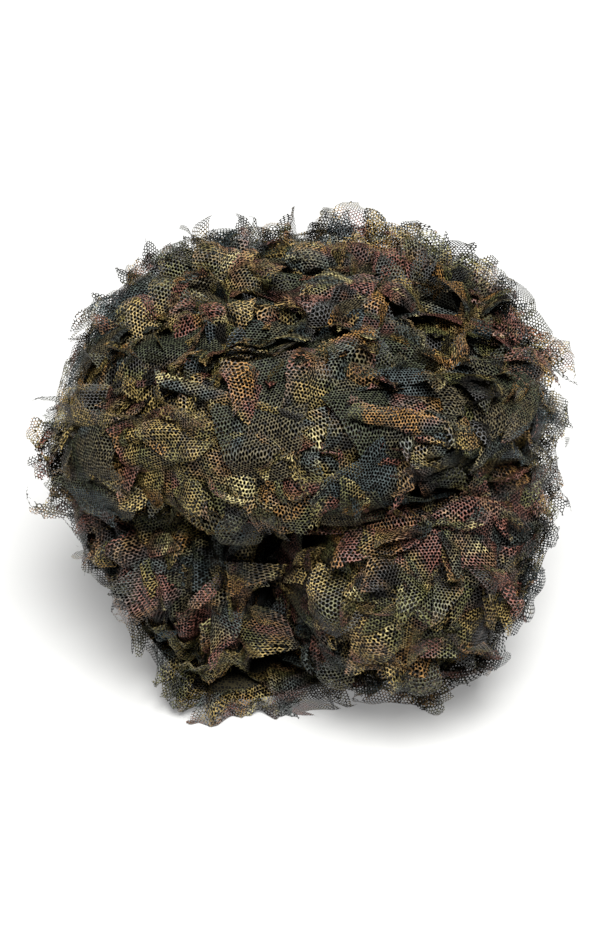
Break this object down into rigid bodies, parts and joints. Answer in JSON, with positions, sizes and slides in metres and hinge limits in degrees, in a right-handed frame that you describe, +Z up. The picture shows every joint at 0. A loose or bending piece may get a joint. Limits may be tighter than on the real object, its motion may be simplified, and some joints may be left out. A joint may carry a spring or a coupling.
{
  "type": "folded camouflage net",
  "caption": "Camouflage net of printed mesh covered with leaf-cut flaps, gathered and folded back and forth into a loose rounded bundle.",
  "frame": {"origin": "middle of the bundle's box, on the surface that it rests on", "axes": "+X along the folds, to the right seen from the front; the front is at -Y; +Z up"},
  "size_m": [0.414, 0.3928, 0.3375],
  "materials": {
    "ground_mesh": "matt knitted polyester mesh, printed in a dark woodland mottle",
    "leaf_mesh": "matt to slightly shiny knitted polyester mesh, printed in a woodland mottle"
  },
  "bodies": {
    "root": {"ground_net": "ground_mesh", "leaf_cloth": "leaf_mesh"}
  },
  "joints": []
}
